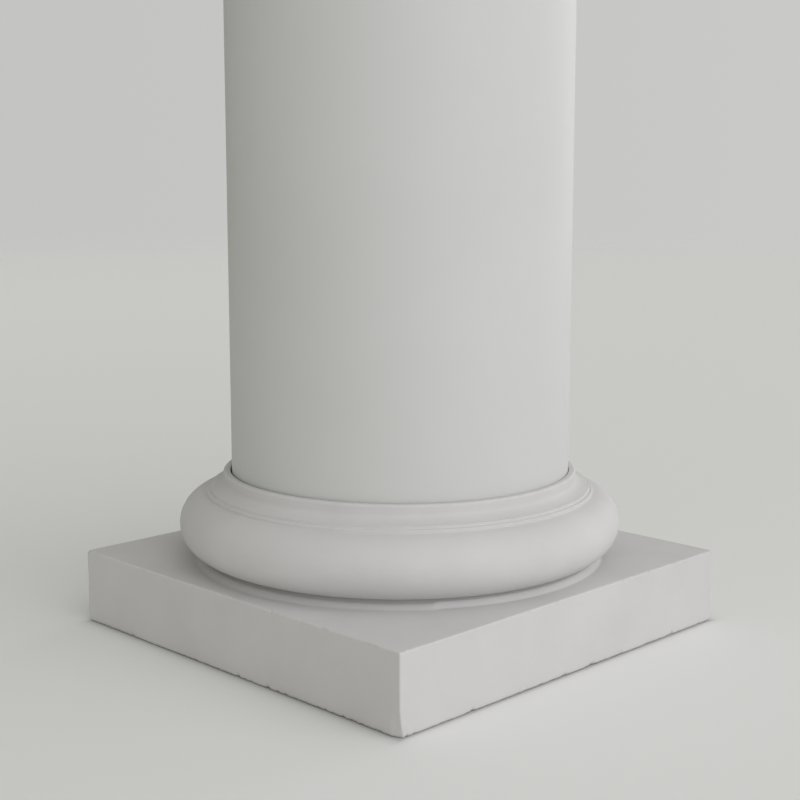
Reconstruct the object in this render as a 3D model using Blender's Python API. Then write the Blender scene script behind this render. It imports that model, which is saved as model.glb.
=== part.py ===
"""A plain round column, cast in three pieces: base, shaft and capital.

The base is one casting: a square plinth, a low ring, a full torus, two fine
steps, a cove and a raised lip. The shaft stands in a shallow round seat behind
that lip. The capital sits over the top of the shaft in the same way.

Metres, +Z up. The column's axis is Z and its underside lies on Z = 0. The sides
of the plinth and of the abacus run along X and Y.
"""

import math

import bmesh
import bpy

# Whole column
COLUMN_HEIGHT = 2.400
TURNING_STEPS = 60
SMOOTH_UP_TO = math.radians(32)

# Shaft: straight for its lower third, then drawn in to the neck along a sweep of arc
SHAFT_RADIUS = 0.172
NECK_RADIUS = 0.143
STRAIGHT_SHARE = 1 / 3
TAPER_SWEEP = math.radians(34)
TAPER_ROWS = 12

# How the castings fit: the side gap round the shaft, and the gap where faces rest
SIDE_GAP = 0.0015
REST_GAP = 0.0003
SEAT_DEPTH = 0.025

# Lip round the shaft: a plain band with a rounded crest
LIP_WIDTH = 0.0068
LIP_HEIGHT = 0.0096
LIP_ROUND = 0.0030

# Cove below the lip, and the two fine steps below the cove
COVE_WIDTH = 0.0128
COVE_HEIGHT = 0.0054
UPPER_LEDGE = 0.0019
UPPER_STEP_HEIGHT = 0.0026
LOWER_LEDGE = 0.0045
LOWER_STEP_HEIGHT = 0.0037

# Torus: how far it swells past the lower step, and its section
TORUS_SWELL = 0.0250
TORUS_DEPTH = 0.0290
TORUS_HEIGHT = 0.0600

# Low ring between the torus and the plinth
RING_SETBACK = 0.0175
RING_HEIGHT = 0.0050
RING_ROUND = 0.0018
RING_SHOULDER_WIDTH = 0.0065
RING_SHOULDER_HEIGHT = 0.0036

# Plinth
PLINTH_MARGIN = 0.0055
PLINTH_HEIGHT = 0.0755
ARRIS = 0.0015

# Capital: an egg-shaped echinus under a square abacus
ECHINUS_SWELL = 0.0270
ECHINUS_HEIGHT = 0.0440
ECHINUS_FILLET_HEIGHT = 0.0060
ECHINUS_FILLET_SETBACK = 0.0020
ABACUS_MARGIN = 0.0075
ABACUS_HEIGHT = 0.0520

# How far a turned moulding runs into the square block it is cast with
SINK = 0.010

# Sizes that follow from the ones above
SEAT_RADIUS = SHAFT_RADIUS + SIDE_GAP
LIP_RADIUS = SEAT_RADIUS + LIP_WIDTH
UPPER_STEP_RADIUS = LIP_RADIUS + COVE_WIDTH + UPPER_LEDGE
LOWER_STEP_RADIUS = UPPER_STEP_RADIUS + LOWER_LEDGE
TORUS_RADIUS = LOWER_STEP_RADIUS + TORUS_SWELL
RING_RADIUS = TORUS_RADIUS - RING_SETBACK
PLINTH_SIDE = 2 * (TORUS_RADIUS + PLINTH_MARGIN)

RING_TOP = PLINTH_HEIGHT + RING_HEIGHT
TORUS_BOTTOM = RING_TOP + RING_SHOULDER_HEIGHT
TORUS_MIDDLE = TORUS_BOTTOM + TORUS_HEIGHT / 2
TORUS_TOP = TORUS_BOTTOM + TORUS_HEIGHT
LOWER_STEP_TOP = TORUS_TOP + LOWER_STEP_HEIGHT
UPPER_STEP_TOP = LOWER_STEP_TOP + UPPER_STEP_HEIGHT
COVE_TOP = UPPER_STEP_TOP + COVE_HEIGHT
BASE_TOP = COVE_TOP + LIP_HEIGHT

CAP_SEAT_RADIUS = NECK_RADIUS + SIDE_GAP
CAP_LIP_RADIUS = CAP_SEAT_RADIUS + LIP_WIDTH
CAP_STEP_RADIUS = CAP_LIP_RADIUS + COVE_WIDTH + UPPER_LEDGE
ECHINUS_RADIUS = CAP_STEP_RADIUS + ECHINUS_SWELL
ABACUS_SIDE = 2 * (ECHINUS_RADIUS + ABACUS_MARGIN)

ABACUS_BOTTOM = COLUMN_HEIGHT - ABACUS_HEIGHT
ECHINUS_TOP = ABACUS_BOTTOM - ECHINUS_FILLET_HEIGHT
ECHINUS_BOTTOM = ECHINUS_TOP - ECHINUS_HEIGHT
CAP_STEP_BOTTOM = ECHINUS_BOTTOM - UPPER_STEP_HEIGHT
CAP_COVE_BOTTOM = CAP_STEP_BOTTOM - COVE_HEIGHT
CAPITAL_BOTTOM = CAP_COVE_BOTTOM - LIP_HEIGHT

BASE_SEAT_FLOOR = BASE_TOP - SEAT_DEPTH
CAP_SEAT_CEILING = CAPITAL_BOTTOM + SEAT_DEPTH
SHAFT_BOTTOM = BASE_SEAT_FLOOR + REST_GAP
SHAFT_TOP = CAP_SEAT_CEILING - REST_GAP
TAPER_START = BASE_TOP + (CAPITAL_BOTTOM - BASE_TOP) * STRAIGHT_SHARE

# Small rounds are held to what their band can carry
CREST_ROUND = min(LIP_ROUND, 0.45 * LIP_WIDTH, 0.9 * LIP_HEIGHT)
RING_EDGE_ROUND = min(RING_ROUND, 0.9 * RING_HEIGHT)


def clear_scene():
    """Start from an empty scene."""
    for thing in list(bpy.data.objects):
        bpy.data.objects.remove(thing, do_unlink=True)


def finish(name, colour, roughness):
    """A matte cast finish: its colour and roughness."""
    material = bpy.data.materials.new(name)
    material.use_nodes = True
    surface = material.node_tree.nodes["Principled BSDF"]
    surface.inputs["Base Color"].default_value = (*colour, 1.0)
    surface.inputs["Roughness"].default_value = roughness
    surface.inputs["Metallic"].default_value = 0.0
    return material


def arc(centre, half_width, half_height, start, end, steps):
    """Points (radius, z) on an elliptic arc, from angle start to end in degrees."""
    points = []
    for step in range(steps + 1):
        angle = math.radians(start + (end - start) * step / steps)
        radius = centre[0] + half_width * math.cos(angle)
        height = centre[1] + half_height * math.sin(angle)
        points.append((radius, height))
    return points


def angle_at_radius(centre_radius, half_width, radius):
    """Angle in degrees at which an ellipse about centre_radius reaches a radius."""
    share = (radius - centre_radius) / half_width
    return math.degrees(math.acos(max(-1.0, min(1.0, share))))


def turned_mesh(name, outline):
    """Solid of revolution about Z: the outline's first and last points bound its flat ends."""
    shape = bmesh.new()
    rings = []
    for radius, height in outline:
        ring = []
        for step in range(TURNING_STEPS):
            angle = 2 * math.pi * step / TURNING_STEPS
            corner = (radius * math.cos(angle), radius * math.sin(angle), height)
            ring.append(shape.verts.new(corner))
        rings.append(ring)
    for lower, upper in zip(rings, rings[1:]):
        for step in range(TURNING_STEPS):
            after = (step + 1) % TURNING_STEPS
            shape.faces.new((lower[step], lower[after], upper[after], upper[step]))
    shape.faces.new(list(reversed(rings[0])))
    shape.faces.new(rings[-1])
    bmesh.ops.recalc_face_normals(shape, faces=shape.faces)
    mesh = bpy.data.meshes.new(name)
    shape.to_mesh(mesh)
    shape.free()
    return mesh


def square_block_mesh(name, side, bottom, top, crisp_level):
    """Square block with eased arrises, but crisp round its face at crisp_level."""
    shape = bmesh.new()
    bmesh.ops.create_cube(shape, size=1.0)
    bmesh.ops.scale(shape, vec=(side, side, top - bottom), verts=shape.verts)
    bmesh.ops.translate(shape, vec=(0.0, 0.0, (top + bottom) / 2), verts=shape.verts)
    eased = []
    for edge in shape.edges:
        if any(abs(corner.co.z - crisp_level) > ARRIS for corner in edge.verts):
            eased.append(edge)
    bmesh.ops.bevel(shape, geom=eased, offset=ARRIS, segments=1, affect="EDGES")
    mesh = bpy.data.meshes.new(name)
    shape.to_mesh(mesh)
    shape.free()
    return mesh


def add_object(name, mesh, material):
    """Put a mesh in the scene, smooth on its rounds and sharp on its arrises."""
    mesh.materials.append(material)
    thing = bpy.data.objects.new(name, mesh)
    bpy.context.scene.collection.objects.link(thing)
    mesh.shade_smooth()
    mesh.set_sharp_from_angle(angle=SMOOTH_UP_TO)
    return thing


def cast_with(block, moulding):
    """Join a turned moulding to the square block that it is cast with."""
    moulding.hide_render = True
    moulding.display_type = "WIRE"
    union = block.modifiers.new("cast in one", "BOOLEAN")
    union.operation = "UNION"
    union.solver = "EXACT"
    union.object = moulding


def lip_crest(seat_radius, crest, round_height):
    """Rounded crest of the lip, from its outer band over to its seat."""
    level = crest - round_height
    outer_radius = seat_radius + LIP_WIDTH - CREST_ROUND
    outer = arc((outer_radius, level), CREST_ROUND, round_height, 0, 90, 3)
    inner = arc((seat_radius + CREST_ROUND, level), CREST_ROUND, round_height, 90, 180, 3)
    return outer + inner


def ring_outline():
    """Low ring: foot, rounded edge and the shoulder up to the torus."""
    edge = (RING_RADIUS - RING_EDGE_ROUND, RING_TOP - RING_EDGE_ROUND)
    points = [(RING_RADIUS, PLINTH_HEIGHT - SINK)]
    points += arc(edge, RING_EDGE_ROUND, RING_EDGE_ROUND, 0, 60, 2)
    points.append((RING_RADIUS - RING_SHOULDER_WIDTH, RING_TOP + RING_SHOULDER_HEIGHT / 2))
    return points


def torus_outline():
    """Torus, from where it leaves the shoulder to the foot of the lower step."""
    centre_radius = TORUS_RADIUS - TORUS_DEPTH
    below = angle_at_radius(centre_radius, TORUS_DEPTH, RING_RADIUS - RING_SHOULDER_WIDTH)
    above = angle_at_radius(centre_radius, TORUS_DEPTH, LOWER_STEP_RADIUS)
    return arc((centre_radius, TORUS_MIDDLE), TORUS_DEPTH, TORUS_HEIGHT / 2, -below, above, 14)


def steps_and_cove_outline():
    """The two fine steps and the cove that rises to the lip."""
    points = [
        (LOWER_STEP_RADIUS, LOWER_STEP_TOP),
        (UPPER_STEP_RADIUS, LOWER_STEP_TOP),
        (UPPER_STEP_RADIUS, UPPER_STEP_TOP),
    ]
    points += arc((LIP_RADIUS + COVE_WIDTH, COVE_TOP), COVE_WIDTH, COVE_HEIGHT, 270, 180, 4)
    return points


def build_base(material):
    """Square plinth with its turned mouldings and the seat for the shaft."""
    outline = ring_outline()
    outline += torus_outline()
    outline += steps_and_cove_outline()
    outline += lip_crest(SEAT_RADIUS, BASE_TOP, CREST_ROUND)
    outline.append((SEAT_RADIUS, BASE_SEAT_FLOOR))
    plinth = square_block_mesh("base", PLINTH_SIDE, 0.0, PLINTH_HEIGHT, crisp_level=0.0)
    base = add_object("base", plinth, material)
    moulding = add_object("base_moulding", turned_mesh("base_moulding", outline), material)
    cast_with(base, moulding)


def shaft_radius(height):
    """Shaft radius at a height: straight below, then eased in to the neck."""
    rise = (height - TAPER_START) / (CAPITAL_BOTTOM - TAPER_START)
    share = max(0.0, min(1.0, rise))
    drawn_in = (1 - math.cos(TAPER_SWEEP * share)) / (1 - math.cos(TAPER_SWEEP))
    return SHAFT_RADIUS + (NECK_RADIUS - SHAFT_RADIUS) * drawn_in


def build_shaft(material):
    """Round shaft, from its seat in the base to its seat in the capital."""
    heights = [SHAFT_BOTTOM]
    for row in range(TAPER_ROWS + 1):
        heights.append(TAPER_START + (CAPITAL_BOTTOM - TAPER_START) * row / TAPER_ROWS)
    heights.append(SHAFT_TOP)
    outline = [(shaft_radius(height), height) for height in heights]
    add_object("shaft", turned_mesh("shaft", outline), material)


def echinus_outline():
    """Cove, one fine step, the swelling echinus and the fillet under the abacus."""
    cove_centre = (CAP_LIP_RADIUS + COVE_WIDTH, CAP_COVE_BOTTOM)
    fillet_radius = ECHINUS_RADIUS - ECHINUS_FILLET_SETBACK
    points = arc(cove_centre, COVE_WIDTH, COVE_HEIGHT, 180, 90, 4)
    points.append((CAP_STEP_RADIUS, CAP_STEP_BOTTOM))
    points += arc((CAP_STEP_RADIUS, ECHINUS_TOP), ECHINUS_SWELL, ECHINUS_HEIGHT, 270, 360, 8)
    points.append((fillet_radius, ECHINUS_TOP))
    points.append((fillet_radius, ABACUS_BOTTOM + SINK))
    return points


def build_capital(material):
    """Turned capital with its square abacus, and the seat for the shaft's top."""
    crest = lip_crest(CAP_SEAT_RADIUS, CAPITAL_BOTTOM, -CREST_ROUND)
    outline = [(CAP_SEAT_RADIUS, CAP_SEAT_CEILING)]
    outline += reversed(crest)
    outline += echinus_outline()
    abacus = square_block_mesh("capital", ABACUS_SIDE, ABACUS_BOTTOM, COLUMN_HEIGHT, COLUMN_HEIGHT)
    capital = add_object("capital", abacus, material)
    moulding = add_object("capital_moulding", turned_mesh("capital_moulding", outline), material)
    cast_with(capital, moulding)


clear_scene()
build_base(finish("cast base white", (0.62, 0.61, 0.59), 0.75))
build_shaft(finish("shaft white", (0.62, 0.63, 0.60), 0.55))
build_capital(finish("cast capital white", (0.62, 0.61, 0.59), 0.75))
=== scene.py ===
import math

import bmesh
import bpy
from mathutils import Matrix, Vector, noise


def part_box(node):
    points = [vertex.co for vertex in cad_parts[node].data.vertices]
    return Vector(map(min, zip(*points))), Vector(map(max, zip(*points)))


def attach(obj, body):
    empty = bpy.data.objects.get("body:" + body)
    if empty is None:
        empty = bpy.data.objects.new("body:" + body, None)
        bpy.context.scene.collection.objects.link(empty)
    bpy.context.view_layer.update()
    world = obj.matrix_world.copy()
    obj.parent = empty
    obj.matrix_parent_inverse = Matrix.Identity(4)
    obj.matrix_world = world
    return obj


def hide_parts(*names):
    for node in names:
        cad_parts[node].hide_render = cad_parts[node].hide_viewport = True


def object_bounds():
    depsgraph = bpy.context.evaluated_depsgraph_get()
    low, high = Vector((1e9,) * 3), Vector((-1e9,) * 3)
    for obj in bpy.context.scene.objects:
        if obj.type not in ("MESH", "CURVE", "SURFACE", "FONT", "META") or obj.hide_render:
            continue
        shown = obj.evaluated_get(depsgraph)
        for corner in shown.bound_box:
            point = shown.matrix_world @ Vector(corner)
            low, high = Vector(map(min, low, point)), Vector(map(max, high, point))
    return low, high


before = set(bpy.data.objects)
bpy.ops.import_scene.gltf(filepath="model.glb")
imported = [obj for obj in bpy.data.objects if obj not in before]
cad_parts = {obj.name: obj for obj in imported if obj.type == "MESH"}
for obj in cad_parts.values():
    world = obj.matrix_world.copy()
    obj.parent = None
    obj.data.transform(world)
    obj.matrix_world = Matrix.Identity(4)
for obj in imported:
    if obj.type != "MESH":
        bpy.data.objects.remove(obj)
cad_low, cad_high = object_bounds()

# The studio
# A plain pale floor runs back into light of the same grey. The room is lit from the right: its walls are
# brighter and cooler there, with a very broad light to the front right and a smaller one to the back right.
# The camera looks down at the plinth's front corner.

CAMERA_BEARING = math.radians(45)
CAMERA_DIP = math.radians(9.276)
CAMERA_DISTANCE = 1.4979
CAMERA_HEIGHT = 0.4784
CAMERA_LENS = 66.817
CAMERA_SENSOR = 36.0

FLOOR_RADIUS = 16.0
FLOOR_SIDES = 96
FLOOR_FADE_START = 3.0
FLOOR_FADE_END = 9.0
FLOOR_COLOUR = (0.842, 0.842, 0.828, 1.0)
FLOOR_DROP = 0.0002
# A painted contact shadow on the floor round the plinth's foot: its reach, its depth, and how much faster it
# fades beside the faces across X
FLOOR_PAINTED_SHADOW_REACH = 0.0065
FLOOR_PAINTED_SHADOW_STRENGTH = 0.32
FLOOR_PAINTED_SHADOW_STRETCH = (2.2, 1.0, 0.0)

BACKDROP_COLOUR = (1.0, 1.0, 0.977, 1.0)
BACKDROP_LIGHT = 0.565
BACKDROP_LEAN = 0.16
ROOM_SHADE_COLOUR = (1.0, 1.018, 0.875, 1.0)
ROOM_SHADE_LIGHT = 0.235
ROOM_BRIGHT_COLOUR = (1.0, 0.997, 1.045, 1.0)
ROOM_BRIGHT_LIGHT = 0.803

KEY_BEARING = math.radians(90)
KEY_RISE = math.radians(25)
KEY_SPREAD = math.radians(80)
KEY_LIGHT = 0.341 * math.pi
LAMP_COLOUR = (1.0, 0.993, 1.02)
SIDE_BEARING = math.radians(180)
SIDE_RISE = math.radians(5)
SIDE_SPREAD = math.radians(40)
SIDE_LIGHT = 0.194 * math.pi


def add_node(tree, kind, inputs=None, **settings):
    """Add a node; an input is given either a value or the socket that feeds it."""
    node = tree.nodes.new(kind)
    for key, value in settings.items():
        setattr(node, key, value)
    for key, value in (inputs or {}).items():
        if isinstance(value, bpy.types.NodeSocket):
            tree.links.new(value, node.inputs[key])
        else:
            node.inputs[key].default_value = value
    return node


def math_node(tree, operation, *values, clamp=False):
    """Add a Math node and give back its result."""
    node = add_node(tree, "ShaderNodeMath", dict(enumerate(values)), operation=operation, use_clamp=clamp)
    return node.outputs[0]


def empty_material(name):
    """A node material with only its output."""
    material = bpy.data.materials.new(name)
    material.use_nodes = True
    material.node_tree.nodes.clear()
    return material, material.node_tree


def heading(bearing, rise):
    """Direction from the column towards a bearing, counted from -Y round to +X, and a height."""
    flat = math.cos(rise)
    return Vector((math.sin(bearing) * flat, -math.cos(bearing) * flat, math.sin(rise)))


def add_soft_light(name, bearing, rise, spread, strength):
    """A far, broad light."""
    light = bpy.data.lights.new(name, "SUN")
    light.color = LAMP_COLOUR
    light.angle = spread
    light.energy = strength
    lamp = bpy.data.objects.new(name, light)
    lamp.rotation_euler = heading(bearing, rise).to_track_quat("Z", "Y").to_euler()
    bpy.context.scene.collection.objects.link(lamp)


def floor_material():
    """Plain pale paint, with a painted shadow at the plinth's foot; far off it gives way to the backdrop."""
    material, tree = empty_material("pale floor")
    place = add_node(tree, "ShaderNodeTexCoord").outputs["Object"]
    away = add_node(tree, "ShaderNodeVectorMath", {0: place}, operation="LENGTH").outputs["Value"]
    fade_span = {"Value": away, "From Min": FLOOR_FADE_START, "From Max": FLOOR_FADE_END}
    fade = add_node(tree, "ShaderNodeMapRange", fade_span, interpolation_type="SMOOTHSTEP")
    flat = add_node(tree, "ShaderNodeVectorMath", {0: place}, operation="ABSOLUTE").outputs[0]
    corner = (cad_high[0], cad_high[1], 0.0)
    past = add_node(tree, "ShaderNodeVectorMath", {0: flat, 1: corner}, operation="SUBTRACT").outputs[0]
    beside = add_node(tree, "ShaderNodeVectorMath", {0: past}, operation="MAXIMUM").outputs[0]
    stretched = {0: beside, 1: FLOOR_PAINTED_SHADOW_STRETCH}
    gap = add_node(tree, "ShaderNodeVectorMath", stretched, operation="MULTIPLY").outputs[0]
    from_foot = add_node(tree, "ShaderNodeVectorMath", {0: gap}, operation="LENGTH").outputs["Value"]
    # Painted contact shadow: the floor is darker the nearer it is to the plinth's foot
    falling_off = math_node(tree, "EXPONENT", math_node(tree, "DIVIDE", from_foot, -FLOOR_PAINTED_SHADOW_REACH))
    painted_shadow = math_node(tree, "MULTIPLY", falling_off, FLOOR_PAINTED_SHADOW_STRENGTH, clamp=True)
    shadow_mix = {0: painted_shadow, 1: FLOOR_COLOUR, 2: (0.0, 0.0, 0.0, 1.0)}
    colour = add_node(tree, "ShaderNodeMixRGB", shadow_mix).outputs[0]
    paint = add_node(tree, "ShaderNodeBsdfDiffuse", {"Color": colour})
    clear = add_node(tree, "ShaderNodeBsdfTransparent")
    surface = {0: fade.outputs["Result"], 1: paint.outputs[0], 2: clear.outputs[0]}
    both = add_node(tree, "ShaderNodeMixShader", surface)
    add_node(tree, "ShaderNodeOutputMaterial", {"Surface": both.outputs[0]})
    return material


def add_floor():
    """A large round floor just under the plinth."""
    shape = bmesh.new()
    bmesh.ops.create_circle(shape, cap_ends=True, segments=FLOOR_SIDES, radius=FLOOR_RADIUS)
    bmesh.ops.translate(shape, vec=(0.0, 0.0, -FLOOR_DROP), verts=shape.verts)
    mesh = bpy.data.meshes.new("floor")
    shape.to_mesh(mesh)
    shape.free()
    mesh.materials.append(floor_material())
    floor = bpy.data.objects.new("floor", mesh)
    bpy.context.scene.collection.objects.link(floor)


def add_backdrop():
    """Light from all round, brighter and cooler to the key's side, and the plain grey seen behind."""
    world = bpy.data.worlds.new("backdrop")
    world.use_nodes = True
    tree = world.node_tree
    tree.nodes.clear()
    seen = add_node(tree, "ShaderNodeLightPath").outputs["Is Camera Ray"]
    towards = add_node(tree, "ShaderNodeTexCoord").outputs["Generated"]
    key_side = {0: towards, 1: heading(KEY_BEARING, 0.0)}
    facing = add_node(tree, "ShaderNodeVectorMath", key_side, operation="DOT_PRODUCT").outputs["Value"]
    from_middle = math_node(tree, "ADD", facing, math.cos(CAMERA_BEARING))
    lean = math_node(tree, "MULTIPLY_ADD", from_middle, BACKDROP_LEAN, 1.0)
    shown = math_node(tree, "MULTIPLY", lean, BACKDROP_LIGHT)
    backdrop = add_node(tree, "ShaderNodeBackground", {"Color": BACKDROP_COLOUR, "Strength": shown})
    bright = math_node(tree, "MULTIPLY_ADD", facing, 0.5, 0.5)
    tints = {0: bright, 1: ROOM_SHADE_COLOUR, 2: ROOM_BRIGHT_COLOUR}
    tint = add_node(tree, "ShaderNodeMixRGB", tints).outputs[0]
    light_span = {"Value": bright, "To Min": ROOM_SHADE_LIGHT, "To Max": ROOM_BRIGHT_LIGHT}
    strength = add_node(tree, "ShaderNodeMapRange", light_span).outputs[0]
    room = add_node(tree, "ShaderNodeBackground", {"Color": tint, "Strength": strength})
    both = add_node(tree, "ShaderNodeMixShader", {0: seen, 1: room.outputs[0], 2: backdrop.outputs[0]})
    add_node(tree, "ShaderNodeOutputWorld", {"Surface": both.outputs[0]})
    bpy.context.scene.world = world


def add_camera():
    """The camera at the photograph's place and angle."""
    lens = bpy.data.cameras.new("camera")
    lens.lens = CAMERA_LENS
    lens.sensor_width = CAMERA_SENSOR
    camera = bpy.data.objects.new("camera", lens)
    camera.location = heading(CAMERA_BEARING, 0.0) * CAMERA_DISTANCE + Vector((0.0, 0.0, CAMERA_HEIGHT))
    camera.rotation_euler = (math.pi / 2 - CAMERA_DIP, 0.0, CAMERA_BEARING)
    bpy.context.scene.collection.objects.link(camera)
    bpy.context.scene.camera = camera


bpy.context.scene.view_settings.view_transform = "Standard"
add_camera()
add_floor()
add_backdrop()
add_soft_light("key light", KEY_BEARING, KEY_RISE, KEY_SPREAD, KEY_LIGHT)
add_soft_light("side light", SIDE_BEARING, SIDE_RISE, SIDE_SPREAD, SIDE_LIGHT)

# Base
# One casting in white plaster: square plinth, low ring, full torus, two fine steps, cove and raised lip.
# The mouldings are turned in the model that the mould was made from, and the plinth's arrises are softened
# and a little chipped by handling. The shaft stands in a seat behind the lip.

base_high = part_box("base")[1]
shaft_low, shaft_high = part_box("shaft")

BASE_TOP = base_high[2]
LIP_RISE = 0.0006
LIP_GAP = 0.0010
LIP_INNER_ROUND = 0.0009
PLINTH_HALF = base_high[0]
PLINTH_HEIGHT = 0.0755
SHAFT_RADIUS = shaft_high[0]
SIDE_GAP = 0.0015
SEAT_DEPTH = 0.025
LIP_WIDTH = 0.0065
LIP_ROUND = 0.0026
THROAT_DEPTH = LIP_ROUND * 1.2
COVE_WIDTH = 0.0130
COVE_HEIGHT = 0.0084
COVE_SWEEP = 58  # degrees
UPPER_LEDGE = 0.0007
UPPER_STEP_HEIGHT = 0.0027
LOWER_LEDGE = 0.0037
LOWER_STEP_HEIGHT = 0.0031
TORUS_SWELL = 0.0275
TORUS_DEPTH = 0.0315
TORUS_HEIGHT = 0.0612
TORUS_MIDDLE = 0.1132
RING_SETBACK = 0.0180
RING_HEIGHT = 0.0045
RING_CREST_SETBACK = 0.0066
RING_FOOT_WIDTH = 0.0042
RING_CREASE_SETBACK = 0.0100
RING_CREASE_RISE = 0.0026
SEAT_EASING = 0.0006
STEP_EASING = 0.0015
EASING_LIMIT = 0.42
EASING_SUPPORT = 1.15
LIP_INNER_STEPS = 5
LIP_OUTER_STEPS = 6
COVE_STEPS = 10
TORUS_STEPS = 30
TORUS_TRIM = 1.5  # degrees
RING_STEPS = 14

SEAT_RADIUS = SHAFT_RADIUS + SIDE_GAP
LIP_RADIUS = SEAT_RADIUS + LIP_WIDTH
UPPER_STEP_RADIUS = LIP_RADIUS + COVE_WIDTH + UPPER_LEDGE
LOWER_STEP_RADIUS = UPPER_STEP_RADIUS + LOWER_LEDGE
TORUS_RADIUS = LOWER_STEP_RADIUS + TORUS_SWELL
RING_RADIUS = TORUS_RADIUS - RING_SETBACK
RING_TOP = PLINTH_HEIGHT + RING_HEIGHT
LOWER_STEP_TOP = TORUS_MIDDLE + TORUS_HEIGHT / 2 + LOWER_STEP_HEIGHT
UPPER_STEP_TOP = LOWER_STEP_TOP + UPPER_STEP_HEIGHT
COVE_TOP = UPPER_STEP_TOP + COVE_HEIGHT

# How the mouldings are turned; the offset sets them a little off the plinth's middle, as in the photograph
MOULDING_OFFSET = 0.0005
BASE_TURNING_STEPS = 440
BASE_UNEVENNESS = 0.00012
BASE_WAVE_LENGTH = 0.045
BASE_SEED = 3.0
AXIS_REACH = 0.001
MERGE_DISTANCE = 0.00001

# The low ring was made good by hand: right of a small jog by the front corner it is higher and narrower
JOG_BEARING = CAMERA_BEARING + math.radians(8.6)
JOG_WIDTH = math.radians(1.4)
JOG_FADE = math.radians(170)
JOG_RISE = 0.0013
JOG_NARROWING = 0.0034
JOG_LUMP = 0.0004
JOG_MARGIN = 0.001
JOG_OVERREACH = 1.6

# The plinth's softened arrises, and the places round it where its faces are divided
ARRIS_ROUND = 0.0008
FRONT_CORNER_ROUND = 0.0016
PLINTH_CORNER_ROUNDS = (0.0024, 0.0026, 0.0013, FRONT_CORNER_ROUND)
CORNER_STEPS = 7
CORNER_FOLD_LIMIT = 0.4
ARRIS_STEPS = 6
FACE_ROWS = 6
PLAIN_SPACING = 0.0015
FINE_SPACING = 0.0005
FINE_REACH = 0.004

# Small chips along an arris, as (place from the front corner, with the right side +, half width, depth)
TOP_CHIPS = (
    (-0.4600, 0.0035, 0.0018),
    (-0.1645, 0.0013, 0.0005),
    (-0.1560, 0.0020, 0.0002),
    (-0.1250, 0.0010, 0.0002),
    (-0.0950, 0.0013, 0.0007),
    (-0.0900, 0.0020, 0.0002),
    (-0.0385, 0.0030, 0.0006),
    (-0.0300, 0.0020, 0.0004),
    (0.1650, 0.0012, 0.0006),
    (0.2040, 0.0020, 0.0004),
    (0.3045, 0.0014, 0.0007),
    (0.3470, 0.0016, 0.0007),
    (0.3900, 0.0020, 0.0005),
    (0.4600, 0.0030, 0.0014),
)
FOOT_CHIPS = (
    (-0.3835, 0.0026, 0.0012),
    (-0.2140, 0.0018, 0.0015),
    (-0.1720, 0.0026, 0.0013),
    (-0.0600, 0.0030, 0.0008),
    (0.0900, 0.0026, 0.0010),
    (0.2600, 0.0040, 0.0012),
    (0.3900, 0.0030, 0.0010),
)

# Wear between the chips, the front corner's worn foot, and the darkening of the chips
TOP_WAVE = 0.0003
TOP_WAVE_LENGTH = 0.045
TOP_CRUMBLE = 0.0007
TOP_CRUMBLE_SIZE = 0.0045
TOP_SEEDS = (1.7, 5.1)
FRONT_FOOT_WEAR = 0.0046
FRONT_FOOT_RISE = 0.027
FRONT_FOOT_REACH = 0.011
FRONT_FOOT_CURVE = 1.5
FOOT_ROUND = 0.0026
FOOT_WAVE = 0.0006
FOOT_WAVE_LENGTH = 0.030
FOOT_CRUMBLE = 0.0013
FOOT_CRUMBLE_SIZE = 0.0034
FOOT_SEEDS = (8.3, 2.9)
CHIP_DARKENING_DEPTH = 0.0002
CHIP_DARKENING_REACH = 0.0022
FACE_WAVE = 0.00020
FACE_WAVE_LENGTH = 0.09
FACE_WAVE_CHANGE = 3.0
WEAR_SHARE = 0.7

# Rows beside a block's arrises, as (distance from the arris in radii of its round, share of its wear)
TOP_ROWS = ((3.0, 0.0), (1.5, 0.25))
UPPER_FACE_ROWS = ((1.6, 0.25), (3.0, 0.05))
LOWER_FACE_ROWS = ((2.4, 0.05), (1.5, 0.30))
UNDER_ROW = 2.5
ROUND_WEAR_LEAST = 0.7
ROUND_WEAR_MORE = 0.3

# Where the rows between the square block and the round moulding lie, as shares of the way in
TOP_SPREAD = (0.06, 0.16, 0.32, 0.52, 0.76)
UNDER_SPREAD = (0.05, 0.5)

# How far rubbed arrises and painted shade in the creases reach over the skin; how strong pinholes and shade
# are
ARRIS_REACH = 0.0022
CREASE_SPREAD = (0.0030, 0.0022)
CREASE_REACH = 0.0032
PINHOLE_DEPTH = 2.5
PAINTED_SHADE_SHARE = 0.8

BASE_LIGHT_COLOUR = (0.646, 0.634, 0.627, 1.0)
BASE_DEEP_COLOUR = (0.608, 0.596, 0.587, 1.0)
BASE_WORN_COLOUR = (0.640, 0.628, 0.621, 1.0)
# Colour of the painted shade in the creases of base and capital
BASE_PAINTED_SHADE_COLOUR = (0.520, 0.509, 0.488, 1.0)


def arc(centre, half_width, half_height, start, end, steps):
    """Points (radius, height) on an elliptic arc, from angle start to end in degrees."""
    points = []
    for step in range(steps + 1):
        angle = math.radians(start + (end - start) * step / steps)
        points.append((centre[0] + half_width * math.cos(angle), centre[1] + half_height * math.sin(angle)))
    return points


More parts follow.
